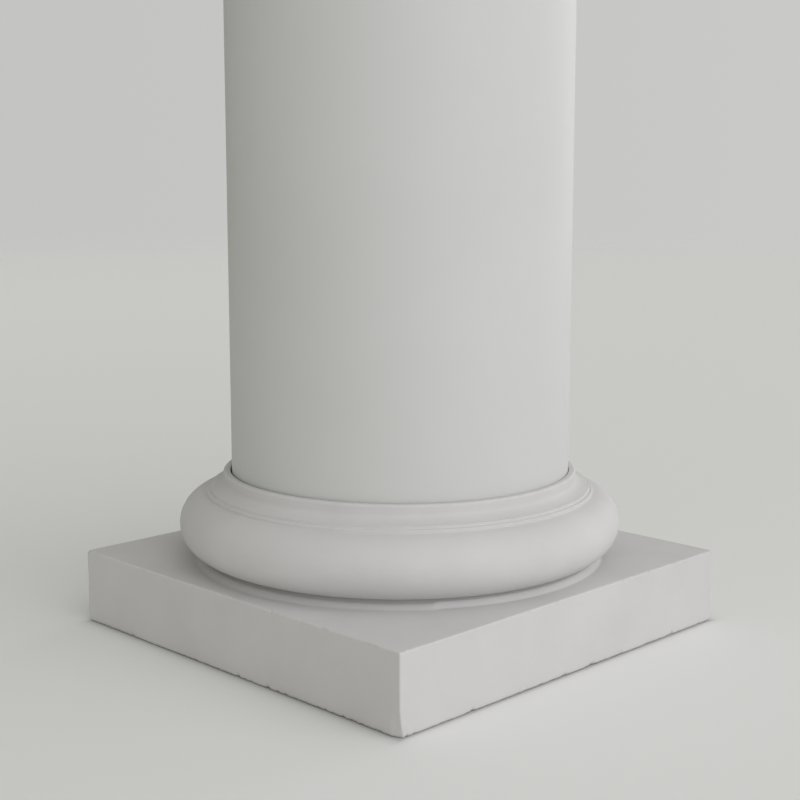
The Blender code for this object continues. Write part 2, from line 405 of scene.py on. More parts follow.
def eased(before, corner, after, easing, steps=4):
    """A small soft turn in an outline at a corner, with a supporting point on either side."""
    corner = Vector(corner)
    arm_in = Vector(before) - corner
    arm_out = Vector(after) - corner
    reach_in = min(easing, arm_in.length * EASING_LIMIT)
    reach_out = min(easing, arm_out.length * EASING_LIMIT)
    start = corner + arm_in.normalized() * reach_in
    end = corner + arm_out.normalized() * reach_out
    points = [corner + arm_in.normalized() * reach_in * EASING_SUPPORT]
    for step in range(steps + 1):
        share = step / steps
        on_in = start.lerp(corner, share)
        on_out = corner.lerp(end, share)
        points.append(on_in.lerp(on_out, share))
    points.append(corner + arm_out.normalized() * reach_out * EASING_SUPPORT)
    return [tuple(point) for point in points]


def eased_line(corners, easing):
    """An outline through corner points whose inner corners are all softened."""
    points = [tuple(corners[0])]
    for before, corner, after in zip(corners, corners[1:], corners[2:]):
        points += eased(before, corner, after, easing)
    points.append(tuple(corners[-1]))
    return points


def angle_at_radius(centre_radius, half_width, radius):
    """Angle in degrees at which an ellipse about centre_radius reaches a radius."""
    return math.degrees(math.acos((radius - centre_radius) / half_width))


def lip_crest(shaft_radius, outer_radius, level, upright):
    """A lip's crest, nearly crisp beside the shaft and rounded outside; upright is -1 where it hangs down."""
    inner = (shaft_radius + LIP_GAP + LIP_INNER_ROUND, level - upright * LIP_INNER_ROUND)
    outer = (outer_radius - LIP_ROUND, level - upright * LIP_ROUND)
    crest = arc(inner, LIP_INNER_ROUND, upright * LIP_INNER_ROUND, 180, 90, LIP_INNER_STEPS)
    return crest + arc(outer, LIP_ROUND, upright * LIP_ROUND, 90, 0, LIP_OUTER_STEPS)


def cove_arc(radius, level, upright):
    """A shallow hollow from upright under a lip to nearly level; upright is -1 where it hangs down."""
    half_width = COVE_WIDTH / (1 - math.cos(math.radians(COVE_SWEEP)))
    half_height = COVE_HEIGHT / math.sin(math.radians(COVE_SWEEP))
    centre = (radius + half_width, level)
    return arc(centre, half_width, upright * half_height, 180, 180 + COVE_SWEEP, COVE_STEPS)


def soft_fall(start, end, steps):
    """Points of a soft fall from a level crest to a level foot."""
    points = []
    for step in range(steps + 1):
        share = step / steps
        fallen = share * share * (3 - 2 * share)
        points.append((start[0] + (end[0] - start[0]) * share, start[1] + (end[1] - start[1]) * fallen))
    return points


def base_outline():
    """Section of the base's mouldings, from the middle of the seat over the lip and down to the plinth."""
    seat_floor = BASE_TOP - SEAT_DEPTH
    throat_radius = SHAFT_RADIUS + LIP_GAP
    seat = [(0.0, seat_floor), (SEAT_RADIUS, seat_floor), (throat_radius, BASE_TOP - THROAT_DEPTH)]
    cove = cove_arc(LIP_RADIUS, COVE_TOP, 1)
    torus_centre = (TORUS_RADIUS - TORUS_DEPTH, TORUS_MIDDLE)
    above = angle_at_radius(torus_centre[0], TORUS_DEPTH, LOWER_STEP_RADIUS)
    below = angle_at_radius(torus_centre[0], TORUS_DEPTH, RING_RADIUS - RING_CREASE_SETBACK)
    ends = (above - TORUS_TRIM, -below + TORUS_TRIM)
    torus = arc(torus_centre, TORUS_DEPTH, TORUS_HEIGHT / 2, *ends, TORUS_STEPS)
    steps = [
        cove[-1],
        (UPPER_STEP_RADIUS, UPPER_STEP_TOP),
        (UPPER_STEP_RADIUS, LOWER_STEP_TOP),
        (LOWER_STEP_RADIUS, LOWER_STEP_TOP),
        (LOWER_STEP_RADIUS, TORUS_MIDDLE + TORUS_HEIGHT / 2),
        torus[0],
    ]
    crease = (RING_RADIUS - RING_CREASE_SETBACK, RING_TOP + RING_CREASE_RISE)
    ring_crest = (RING_RADIUS - RING_CREST_SETBACK, RING_TOP)
    ring = soft_fall(ring_crest, (RING_RADIUS + RING_FOOT_WIDTH, PLINTH_HEIGHT), RING_STEPS)
    outline = eased_line(seat, SEAT_EASING)
    outline += lip_crest(SHAFT_RADIUS, LIP_RADIUS, BASE_TOP + LIP_RISE, 1)
    outline += cove[:-1]
    outline += eased_line(steps, STEP_EASING)[:-1]
    outline += torus
    outline += eased(torus[-1], crease, ring[0], SEAT_EASING)
    outline += ring
    return outline


def outline_mesh(outline):
    """An outline's points in a row, with the radius along X and the height along Z."""
    mesh = bpy.data.meshes.new("outline")
    links = [(number, number + 1) for number in range(len(outline) - 1)]
    mesh.from_pydata([(radius, 0.0, height) for radius, height in outline], links, [])
    return mesh


def new_group(name, kind, inputs, outputs):
    """A node group with named sockets, given as (name, socket type) or (name, socket type, value)."""
    tree = bpy.data.node_groups.new(name, kind)
    for in_out, sockets in (("INPUT", inputs), ("OUTPUT", outputs)):
        for label, socket_type, *value in sockets:
            socket = tree.interface.new_socket(label, in_out=in_out, socket_type=socket_type)
            if value:
                socket.default_value = value[0]
    entry = add_node(tree, "NodeGroupInput")
    return tree, entry.outputs


def turning_tree():
    """Geometry tree that turns an outline about the axis, slightly unevenly, as a hand-run mould does."""
    inputs = (
        ("Outline", "NodeSocketGeometry"),
        ("Turning Steps", "NodeSocketInt", 240),
        ("Unevenness", "NodeSocketFloat", 0.0001),
        ("Wave Length", "NodeSocketFloat", 0.05),
        ("Seed", "NodeSocketFloat", 0.0),
        ("Finish", "NodeSocketMaterial"),
    )
    tree, given = new_group("turned outline", "GeometryNodeTree", inputs, [("Turned", "NodeSocketGeometry")])
    size = add_node(tree, "GeometryNodeAttributeDomainSize", {"Geometry": given["Outline"]}, component="MESH")
    one_more = {0: given["Turning Steps"], 1: 1}
    round_count = add_node(tree, "FunctionNodeIntegerMath", one_more, operation="ADD")
    counts = {"Vertices X": size.outputs["Point Count"], "Vertices Y": round_count.outputs[0]}
    sheet = add_node(tree, "GeometryNodeMeshGrid", counts)
    index = add_node(tree, "GeometryNodeInputIndex").outputs[0]
    split = {0: index, 1: round_count.outputs[0]}
    row = add_node(tree, "FunctionNodeIntegerMath", split, operation="DIVIDE_FLOOR").outputs[0]
    step = add_node(tree, "FunctionNodeIntegerMath", split, operation="MODULO").outputs[0]
    point = {"Geometry": given["Outline"], "Index": row}
    point["Value"] = add_node(tree, "GeometryNodeInputPosition").outputs[0]
    sample = add_node(tree, "GeometryNodeSampleIndex", point, data_type="FLOAT_VECTOR", domain="POINT")
    section = add_node(tree, "ShaderNodeSeparateXYZ", {0: sample.outputs["Value"]}).outputs
    share = math_node(tree, "DIVIDE", step, given["Turning Steps"])
    angle = math_node(tree, "MULTIPLY", share, 2 * math.pi)
    flat = {"X": math_node(tree, "COSINE", angle), "Y": math_node(tree, "SINE", angle)}
    outward = add_node(tree, "ShaderNodeCombineXYZ", flat).outputs[0]
    circle = {0: outward, "Scale": section["X"]}
    spread = add_node(tree, "ShaderNodeVectorMath", circle, operation="SCALE").outputs[0]
    lift = add_node(tree, "ShaderNodeCombineXYZ", {"Z": section["Z"]}).outputs[0]
    true_place = add_node(tree, "ShaderNodeVectorMath", {0: spread, 1: lift}, operation="ADD").outputs[0]
    frequency = math_node(tree, "DIVIDE", 1.0, given["Wave Length"])
    waves = {"Vector": true_place, "W": given["Seed"], "Scale": frequency, "Detail": 1.0}
    wave = add_node(tree, "ShaderNodeTexNoise", waves, noise_dimensions="4D").outputs[0]
    swing = math_node(tree, "MULTIPLY_ADD", wave, 2.0, -1.0)
    off_axis = math_node(tree, "GREATER_THAN", section["X"], AXIS_REACH)
    push = math_node(tree, "MULTIPLY", math_node(tree, "MULTIPLY", swing, given["Unevenness"]), off_axis)
    shift = add_node(tree, "ShaderNodeVectorMath", {0: outward, "Scale": push}, operation="SCALE").outputs[0]
    place = add_node(tree, "ShaderNodeVectorMath", {0: true_place, 1: shift}, operation="ADD").outputs[0]
    moved = {"Geometry": sheet.outputs["Mesh"], "Position": place}
    turned = add_node(tree, "GeometryNodeSetPosition", moved).outputs[0]
    closing = {"Geometry": turned, "Distance": MERGE_DISTANCE}
    closed = add_node(tree, "GeometryNodeMergeByDistance", closing).outputs[0]
    smooth = add_node(tree, "GeometryNodeSetShadeSmooth", {"Geometry": closed}).outputs[0]
    real = add_node(tree, "GeometryNodeRealizeInstances", {"Geometry": smooth}).outputs[0]
    dressed = {"Geometry": real, "Material": given["Finish"]}
    finished = add_node(tree, "GeometryNodeSetMaterial", dressed).outputs[0]
    add_node(tree, "NodeGroupOutput", {"Turned": finished})
    return tree


def grow(mesh, tree, **values):
    """Run a geometry tree on a mesh and give back the result as a plain mesh."""
    carrier = bpy.data.objects.new("carrier", mesh)
    bpy.context.scene.collection.objects.link(carrier)
    modifier = carrier.modifiers.new("shape", "NODES")
    modifier.node_group = tree
    for socket in tree.interface.items_tree:
        label = socket.name.replace(" ", "_").lower()
        if socket.in_out == "INPUT" and label in values:
            modifier[socket.identifier] = values[label]
    depsgraph = bpy.context.evaluated_depsgraph_get()
    depsgraph.update()
    result = bpy.data.meshes.new_from_object(carrier.evaluated_get(depsgraph))
    carrier.modifiers.remove(modifier)
    bpy.data.objects.remove(carrier)
    return result


def square_stations(half_side, corner_rounds, busy_places):
    """Stations round a rounded square: place, outward direction and distance from the front corner."""
    side_length = 2 * half_side
    busy = [place % (4 * side_length) for place in busy_places]
    busy += [side_length * corner for corner in range(5)]
    stations = []
    for side in range(4):
        turn = Matrix.Rotation(math.pi / 2 * side, 2)
        corner_round = corner_rounds[side]
        along = corner_rounds[side - 1] - half_side
        while along < half_side - corner_round - FINE_SPACING / 2:
            distance = side * side_length + half_side + along
            stations.append((turn @ Vector((half_side, along)), turn @ Vector((1.0, 0.0)), distance))
            near = min(abs(distance - place) for place in busy)
            along += FINE_SPACING if near < FINE_REACH else PLAIN_SPACING
        middle = Vector((half_side - corner_round, half_side - corner_round))
        for step in range(CORNER_STEPS):
            angle = math.pi / 2 * step / CORNER_STEPS
            outward = Vector((math.cos(angle), math.sin(angle)))
            place = middle + outward * corner_round
            stations.append((turn @ place, turn @ outward, side_length * (side + 1)))
    return stations


def chip_depth(distance, chips, length):
    """How deep the small chips reach at a distance along an arris."""
    depth = 0.0
    for place, half_width, deepest in chips:
        away = (distance - place + length / 2) % length - length / 2
        depth += deepest * math.exp(-((away / half_width) ** 2))
    return depth


def waviness(place, wave_length, seed):
    """Smooth noise from 0 to 1 at a place."""
    return 0.5 + 0.5 * noise.noise(Vector((place[0], place[1], seed)) / wave_length)


def crumble(place, size, seed):
    """Scattered small losses: 0 where an arris is whole."""
    return max(0.0, 2.0 * waviness(place, size, seed) - 1.0)


def round_wear(angle):
    """Share of an arris's wear on its round: the most halfway between its two faces."""
    return ROUND_WEAR_LEAST + ROUND_WEAR_MORE * math.sin(2 * angle)


def block_rows(arris_round, far_round, height):
    """Rows down a block from its dressed top: inset, depth, and share of the top's and of the foot's wear."""
    rows = [(arris_round * away, 0.0, share, 0.0) for away, share in TOP_ROWS]
    angles = [math.pi / 2 * step / ARRIS_STEPS for step in range(ARRIS_STEPS + 1)]
    for angle in angles:
        inset = arris_round * (1 - math.sin(angle))
        drop = arris_round * (1 - math.cos(angle))
        rows.append((inset, drop, round_wear(angle), 0.0))
    rows += [(0.0, arris_round * away, share, 0.0) for away, share in UPPER_FACE_ROWS]
    rows += [(0.0, height * row / FACE_ROWS, 0.0, 0.0) for row in range(1, FACE_ROWS)]
    rows += [(0.0, height - far_round * away, 0.0, share) for away, share in LOWER_FACE_ROWS]
    for angle in angles:
        inset = far_round * (1 - math.cos(angle))
        rise = far_round * (1 - math.sin(angle))
        rows.append((inset, height - rise, 0.0, round_wear(angle)))
    rows.append((far_round * UNDER_ROW, height, 0.0, 0.0))
    return rows


def block_loops(stations, rows, level, upright, top_wear, foot_wear):
    """Rings of places round a block; upright is 1 with the dressed face up and -1 with it down."""
    loops = []
    for inset, drop, top_share, foot_share in rows:
        loop = []
        for place, outward, distance in stations:
            from_top = top_share * top_wear(place, distance)
            from_foot = foot_share * foot_wear(place, distance)
            face = FACE_WAVE * waviness(place, FACE_WAVE_LENGTH, drop * FACE_WAVE_CHANGE)
            # Past a corner's round the rows draw in towards the middle, so that they don't fold there
            on_round = min(inset, FRONT_CORNER_ROUND * CORNER_FOLD_LIMIT)
            flat = place - outward * (on_round + (from_top + from_foot) * WEAR_SHARE + face)
            flat *= 1 - (inset - on_round) / place.length
            sunk = drop + (from_top - from_foot) * WEAR_SHARE
            loop.append(Vector((flat.x, flat.y, level - upright * sunk)))
        loops.append(loop)
    return loops


def ring_of(shape, loop):
    """Add a closed ring of vertices."""
    return [shape.verts.new(place) for place in loop]


def skin(shape, first, second):
    """Faces between two rings with the same number of vertices."""
    count = len(first)
    for number in range(count):
        after = (number + 1) % count
        shape.faces.new((first[number], first[after], second[after], second[number]))


def bearing_of(vertex):
    """Angle of a vertex about the column's axis."""
    return math.atan2(vertex.co.y, vertex.co.x)


def stitch(shape, inner, outer):
    """Triangles between two rings round the axis whose numbers of vertices differ."""
    inner = sorted(inner, key=bearing_of)
    outer = sorted(outer, key=bearing_of)
    step_in = step_out = 0
    while step_in < len(inner) or step_out < len(outer):
        here_in = inner[step_in % len(inner)]
        here_out = outer[step_out % len(outer)]
        next_in = inner[(step_in + 1) % len(inner)]
        next_out = outer[(step_out + 1) % len(outer)]
        turn_in = bearing_of(next_in) + (2 * math.pi if step_in + 1 >= len(inner) else 0.0)
        turn_out = bearing_of(next_out) + (2 * math.pi if step_out + 1 >= len(outer) else 0.0)
        if step_out >= len(outer) or (step_in < len(inner) and turn_in < turn_out):
            shape.faces.new((here_in, here_out, next_in))
            step_in += 1
        else:
            shape.faces.new((here_in, here_out, next_out))
            step_out += 1


def spread_rows(shape, ring, radius, level, shares):
    """Rings that pass from a block's square ring in to a circle, at the block's own level."""
    rings = [ring]
    for share in shares:
        loop = []
        for vertex in ring:
            flat = Vector((vertex.co.x, vertex.co.y))
            circle = flat.normalized() * radius
            mixed = flat.lerp(circle, share)
            loop.append(Vector((mixed.x, mixed.y, vertex.co.z + (level - vertex.co.z) * share)))
        rings.append(ring_of(shape, loop))
        skin(shape, rings[-2], rings[-1])
    return rings[-1]


def cast_in_one(name, moulding, loops, joint_radius, joint_level, foot_level):
    """Join the turned moulding to its square block and close the block's far side: one closed casting."""
    shape = bmesh.new()
    shape.from_mesh(moulding)
    foot = [vertex for vertex in shape.verts if vertex.is_boundary]
    rings = [ring_of(shape, loop) for loop in loops]
    for first, second in zip(rings, rings[1:]):
        skin(shape, first, second)
    inner = spread_rows(shape, rings[0], joint_radius, joint_level, TOP_SPREAD)
    stitch(shape, foot, inner)
    middle = shape.verts.new((0.0, 0.0, foot_level))
    last = spread_rows(shape, rings[-1], joint_radius, foot_level, UNDER_SPREAD)
    for number in range(len(last)):
        shape.faces.new((last[number], last[(number + 1) % len(last)], middle))
    bmesh.ops.recalc_face_normals(shape, faces=shape.faces)
    for face in shape.faces:
        face.smooth = True
    mesh = bpy.data.meshes.new(name)
    shape.to_mesh(mesh)
    shape.free()
    return mesh


def mark(mesh, name, turned_places, block_places, reach):
    """Vertex values that are 1 at places of the section and fade out past a reach."""
    layer = mesh.attributes.new(name, "FLOAT", "POINT")
    for vertex in mesh.vertices:
        x, y, z = vertex.co
        nearest = 1.0
        for radius, height in turned_places:
            nearest = min(nearest, math.hypot(math.hypot(x, y) - radius, z - height))
        for half_side, height in block_places:
            nearest = min(nearest, math.hypot(max(abs(x), abs(y)) - half_side, z - height))
        layer.data[vertex.index].value = math.exp(-((nearest / reach) ** 2))


def distance_round(x, y, half_side):
    """Distance round a square from its front corner to the place beside a point."""
    if abs(x) >= abs(y):
        return half_side + y if x > 0 else 5 * half_side - y
    return 3 * half_side - x if y > 0 else 7 * half_side + x


def darken_chips(mesh, half_side, level, chips):
    """Add an arris's chips to the hollows' mask, so that they are darkened like the hollows."""
    layer = mesh.attributes["hollow"]
    for vertex in mesh.vertices:
        x, y, z = vertex.co
        off = math.hypot(max(abs(x), abs(y)) - half_side, z - level)
        if off > CHIP_DARKENING_REACH:
            continue
        depth = chip_depth(distance_round(x, y, half_side), chips, 8 * half_side)
        darkening = min(1.0, depth / CHIP_DARKENING_DEPTH) * (1 - off / CHIP_DARKENING_REACH)
        value = layer.data[vertex.index]
        value.value = max(value.value, darkening)


def relief_group():
    """Shader group for the skin of a casting: fine grain, shallow pinholes and a slow drift of tone."""
    inputs = (
        ("Vector", "NodeSocketVector"),
        ("Grain Size", "NodeSocketFloat", 0.001),
        ("Pinhole Spacing", "NodeSocketFloat", 0.02),
        ("Pinhole Size", "NodeSocketFloat", 0.05),
        ("Drift Size", "NodeSocketFloat", 0.2),
    )
    outputs = (
        ("Height", "NodeSocketFloat"),
        ("Grain", "NodeSocketFloat"),
        ("Drift", "NodeSocketFloat"),
    )
    tree, given = new_group("cast skin", "ShaderNodeTree", inputs, outputs)
    grain_scale = math_node(tree, "DIVIDE", 1.0, given["Grain Size"])
    grain_inputs = {"Vector": given["Vector"], "Scale": grain_scale, "Detail": 3.0, "Roughness": 0.6}
    grain = add_node(tree, "ShaderNodeTexNoise", grain_inputs).outputs[0]
    hole_scale = math_node(tree, "DIVIDE", 1.0, given["Pinhole Spacing"])
    hole_inputs = {"Vector": given["Vector"], "Scale": hole_scale, "Randomness": 1.0}
    cell = add_node(tree, "ShaderNodeTexVoronoi", hole_inputs).outputs["Distance"]
    open_hole = {"Value": cell, "From Max": given["Pinhole Size"], "To Min": 1.0, "To Max": 0.0}
    hole = add_node(tree, "ShaderNodeMapRange", open_hole, interpolation_type="SMOOTHSTEP").outputs[0]
    drift_scale = math_node(tree, "DIVIDE", 1.0, given["Drift Size"])
    drift_inputs = {"Vector": given["Vector"], "Scale": drift_scale, "Detail": 4.0, "Roughness": 0.55}
    drift = add_node(tree, "ShaderNodeTexNoise", drift_inputs).outputs[0]
    height = math_node(tree, "SUBTRACT", grain, math_node(tree, "MULTIPLY", hole, PINHOLE_DEPTH))
    results = {"Height": height, "Grain": grain, "Drift": drift}
    add_node(tree, "NodeGroupOutput", results)
    return tree


def wear_group():
    """Shader group: paler arrises rubbed by handling, and painted shade in the hollows."""
    inputs = (
        ("Vector", "NodeSocketVector"),
        ("Light", "NodeSocketColor"),
        ("Deep", "NodeSocketColor"),
        ("Worn", "NodeSocketColor"),
        ("Hollow", "NodeSocketColor"),
        ("Drift", "NodeSocketFloat"),
        ("Arris", "NodeSocketFloat"),
        ("Crease", "NodeSocketFloat"),
        ("Patch Size", "NodeSocketFloat", 0.02),
    )
    tree, given = new_group("wear and painted shade", "ShaderNodeTree", inputs, [("Color", "NodeSocketColor")])
    drift_range = {"Value": given["Drift"], "From Min": 0.35, "From Max": 0.65}
    drift = add_node(tree, "ShaderNodeMapRange", drift_range).outputs[0]
    body = add_node(tree, "ShaderNodeMixRGB", {0: drift, 1: given["Deep"], 2: given["Light"]}).outputs[0]
    patch_scale = math_node(tree, "DIVIDE", 1.0, given["Patch Size"])
    patch_inputs = {"Vector": given["Vector"], "Scale": patch_scale, "Detail": 2.0}
    patch = add_node(tree, "ShaderNodeTexNoise", patch_inputs).outputs[0]
    patch_range = {"Value": patch, "From Min": 0.40, "From Max": 0.62}
    broken = add_node(tree, "ShaderNodeMapRange", patch_range).outputs[0]
    rubbed = math_node(tree, "MULTIPLY", given["Arris"], broken, clamp=True)
    worn = add_node(tree, "ShaderNodeMixRGB", {0: rubbed, 1: body, 2: given["Worn"]}).outputs[0]
    # Painted shade in the creases, from their mask
    painted_shade = math_node(tree, "MULTIPLY", given["Crease"], PAINTED_SHADE_SHARE, clamp=True)
    colour = add_node(tree, "ShaderNodeMixRGB", {0: painted_shade, 1: worn, 2: given["Hollow"]}).outputs[0]
    add_node(tree, "NodeGroupOutput", {"Color": colour})
    return tree


def use_group(tree, group, inputs):
    """Place a shader group in a material and give back its outputs."""
    return add_node(tree, "ShaderNodeGroup", inputs, node_tree=group).outputs


def cast_material(name, skin_values, colours, roughness, bump_depth, specular):
    """A cast finish: its grain, drift of tone, rubbed arrises and painted shade in its hollows."""
    material, tree = empty_material(name)
    place = add_node(tree, "ShaderNodeTexCoord").outputs["Object"]
    arris = add_node(tree, "ShaderNodeAttribute", attribute_name="arris").outputs["Fac"]
    # The mask of the painted shade in the creases
    crease = add_node(tree, "ShaderNodeAttribute", attribute_name="hollow").outputs["Fac"]
    relief = use_group(tree, cast_skin, {"Vector": place, **skin_values})
    wear_values = {"Vector": place, "Drift": relief["Drift"], "Arris": arris, "Crease": crease, **colours}
    colour = use_group(tree, wear_and_painted_shade, wear_values)["Color"]
    matt_range = {"Value": relief["Grain"], "From Min": 0.3, "From Max": 0.7}
    matt_range["To Min"], matt_range["To Max"] = roughness
    matt = add_node(tree, "ShaderNodeMapRange", matt_range).outputs[0]
    bump = add_node(tree, "ShaderNodeBump", {"Height": relief["Height"], "Distance": bump_depth})
    surface_inputs = {"Base Color": colour, "Roughness": matt, "Normal": bump.outputs[0]}
    surface_inputs["Specular IOR Level"] = specular
    surface = add_node(tree, "ShaderNodeBsdfPrincipled", surface_inputs)
    add_node(tree, "ShaderNodeOutputMaterial", {"Surface": surface.outputs[0]})
    return material


def add_piece(name, mesh, material, node):
    """Put a finished mesh in the scene and let it stand for its CAD node."""
    mesh.materials.clear()
    mesh.materials.append(material)
    piece = bpy.data.objects.new(name, mesh)
    bpy.context.scene.collection.objects.link(piece)
    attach(piece, "root")
    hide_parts(node)


def close_crease(mesh):
    """Raise and narrow the low ring right of its jog, fading out behind, with a small lump at the jog."""
    highest = RING_TOP + RING_CREASE_RISE * JOG_OVERREACH
    innermost = RING_RADIUS - RING_CREASE_SETBACK - JOG_MARGIN
    crest_radius = RING_RADIUS - RING_CREST_SETBACK
    foot_radius = RING_RADIUS + RING_FOOT_WIDTH
    for vertex in mesh.vertices:
        x, y, z = vertex.co
        radius = math.hypot(x, y)
        if z > highest or radius < innermost:
            continue
        past_jog = (math.atan2(x, -y) - JOG_BEARING) % (2 * math.pi)
        turned = min(past_jog, 2 * math.pi - past_jog)
        closed = min(1.0, past_jog / JOG_WIDTH) * max(0.0, 1 - past_jog / JOG_FADE)
        lump = math.exp(-((turned / JOG_WIDTH) ** 2))
        rise = max(0.0, min(1.0, (z - PLINTH_HEIGHT) / RING_HEIGHT))
        outer = max(0.0, min(1.0, (radius - crest_radius) / (foot_radius - crest_radius)))
        scale = 1 - JOG_NARROWING * closed * outer / radius
        vertex.co = (x * scale, y * scale, z + rise * (JOG_RISE * closed + JOG_LUMP * lump))


def wear_front_foot(loops):
    """Rub off the foot of the front corner, mostly on its left face, so that the arris swerves there."""
    for loop in loops:
        for place in loop:
            from_foot = place.z / FRONT_FOOT_RISE
            along_left = (PLINTH_HALF - place.x) / FRONT_FOOT_REACH
            along_right = (PLINTH_HALF + place.y) / FRONT_FOOT_REACH
            if max(from_foot, along_left, along_right) < 1:
                lost = FRONT_FOOT_WEAR * (1 - max(0.0, from_foot)) ** FRONT_FOOT_CURVE
                place.y += lost * (1 - max(0.0, along_left)) * (1 - max(0.0, along_right))


def plinth_top_wear(place, distance):
    """Depth of wear on the plinth's upper arris."""
    wave = TOP_WAVE * waviness(place, TOP_WAVE_LENGTH, TOP_SEEDS[0])
    wave += TOP_CRUMBLE * crumble(place, TOP_CRUMBLE_SIZE, TOP_SEEDS[1])
    return wave + chip_depth(distance, TOP_CHIPS, 8 * PLINTH_HALF)


def plinth_foot_wear(place, distance):
    """Depth of wear on the plinth's lower arris, which is the roughest."""
    wave = FOOT_WAVE * waviness(place, FOOT_WAVE_LENGTH, FOOT_SEEDS[0])
    wave += FOOT_CRUMBLE * crumble(place, FOOT_CRUMBLE_SIZE, FOOT_SEEDS[1])
    return wave + chip_depth(distance, FOOT_CHIPS, 8 * PLINTH_HALF)


turned_outline = turning_tree()
cast_skin = relief_group()
wear_and_painted_shade = wear_group()

base_material = cast_material(
    "cast white plaster",
    {"Grain Size": 0.0012, "Pinhole Spacing": 0.022, "Pinhole Size": 0.03, "Drift Size": 0.11},
    {
        "Light": BASE_LIGHT_COLOUR,
        "Deep": BASE_DEEP_COLOUR,
        "Worn": BASE_WORN_COLOUR,
        "Hollow": BASE_PAINTED_SHADE_COLOUR,
        "Patch Size": 0.012,
    },
    roughness=(0.66, 0.80),
    bump_depth=0.00008,
    specular=0.30,
)
base_moulding = grow(
    outline_mesh(base_outline()),
    turned_outline,
    turning_steps=BASE_TURNING_STEPS,
    unevenness=BASE_UNEVENNESS,
    wave_length=BASE_WAVE_LENGTH,
    seed=BASE_SEED,
    finish=base_material,
)
close_crease(base_moulding)
base_moulding.transform(Matrix.Translation(heading(CAMERA_BEARING - math.pi / 2, 0.0) * MOULDING_OFFSET))
plinth_busy = [place for place, _, _ in TOP_CHIPS + FOOT_CHIPS]
plinth_loops = block_loops(
    square_stations(PLINTH_HALF, PLINTH_CORNER_ROUNDS, plinth_busy),
    block_rows(ARRIS_ROUND, FOOT_ROUND, PLINTH_HEIGHT),
    PLINTH_HEIGHT,
    1.0,
    plinth_top_wear,
    plinth_foot_wear,
)
wear_front_foot(plinth_loops)
base_mesh = cast_in_one(
    "base_casting",
    base_moulding,
    plinth_loops,
    RING_RADIUS + RING_FOOT_WIDTH,
    PLINTH_HEIGHT,
    0.0,
)
base_edges = [
    (UPPER_STEP_RADIUS, UPPER_STEP_TOP),
    (LOWER_STEP_RADIUS, LOWER_STEP_TOP),
    (LIP_RADIUS - LIP_ROUND / 2, BASE_TOP + LIP_RISE),
]
crease = (RING_RADIUS - RING_CREASE_SETBACK, RING_TOP + RING_CREASE_RISE)
base_hollows = [crease, (crease[0] + CREASE_SPREAD[0], crease[1] + CREASE_SPREAD[1])]
mark(base_mesh, "arris", base_edges, [(PLINTH_HALF, PLINTH_HEIGHT), (PLINTH_HALF, 0.0)], ARRIS_REACH)
# Painted shade in the crease between the torus and the low ring
mark(base_mesh, "hollow", base_hollows, [], CREASE_REACH)
# The chips are darkened with the hollows' colour
darken_chips(base_mesh, PLINTH_HALF, PLINTH_HEIGHT, TOP_CHIPS)
darken_chips(base_mesh, PLINTH_HALF, 0.0, FOOT_CHIPS)
add_piece("base_casting", base_mesh, base_material, "base")

# Shaft
# A smooth round drum, cast apart from the base and rubbed down to a satin face, a shade cooler than the base.
# It is straight for its lower third, then drawn in to the neck, and stands in the seats of base and capital.

capital_low, capital_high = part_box("capital")

NECK_RADIUS = 0.143
STRAIGHT_SHARE = 1 / 3
TAPER_SWEEP = math.radians(34)
CAPITAL_BOTTOM = capital_low[2]
TAPER_START = BASE_TOP + (CAPITAL_BOTTOM - BASE_TOP) * STRAIGHT_SHARE
SHAFT_ROWS = 120
SHAFT_TURNING_STEPS = 360
SHAFT_UNEVENNESS = 0.00008
SHAFT_WAVE_LENGTH = 0.16
SHAFT_SEED = 11.0
SHAFT_ARRIS_REACH = 0.002
SHAFT_HOLLOW_REACH = 0.004

SHAFT_LIGHT_COLOUR = (0.634, 0.637, 0.618, 1.0)
SHAFT_DEEP_COLOUR = (0.608, 0.611, 0.592, 1.0)
SHAFT_WORN_COLOUR = (0.642, 0.645, 0.626, 1.0)
# Colour of the painted shade where the shaft goes into the lips of base and capital
SHAFT_PAINTED_SHADE_COLOUR = (0.560, 0.562, 0.545, 1.0)


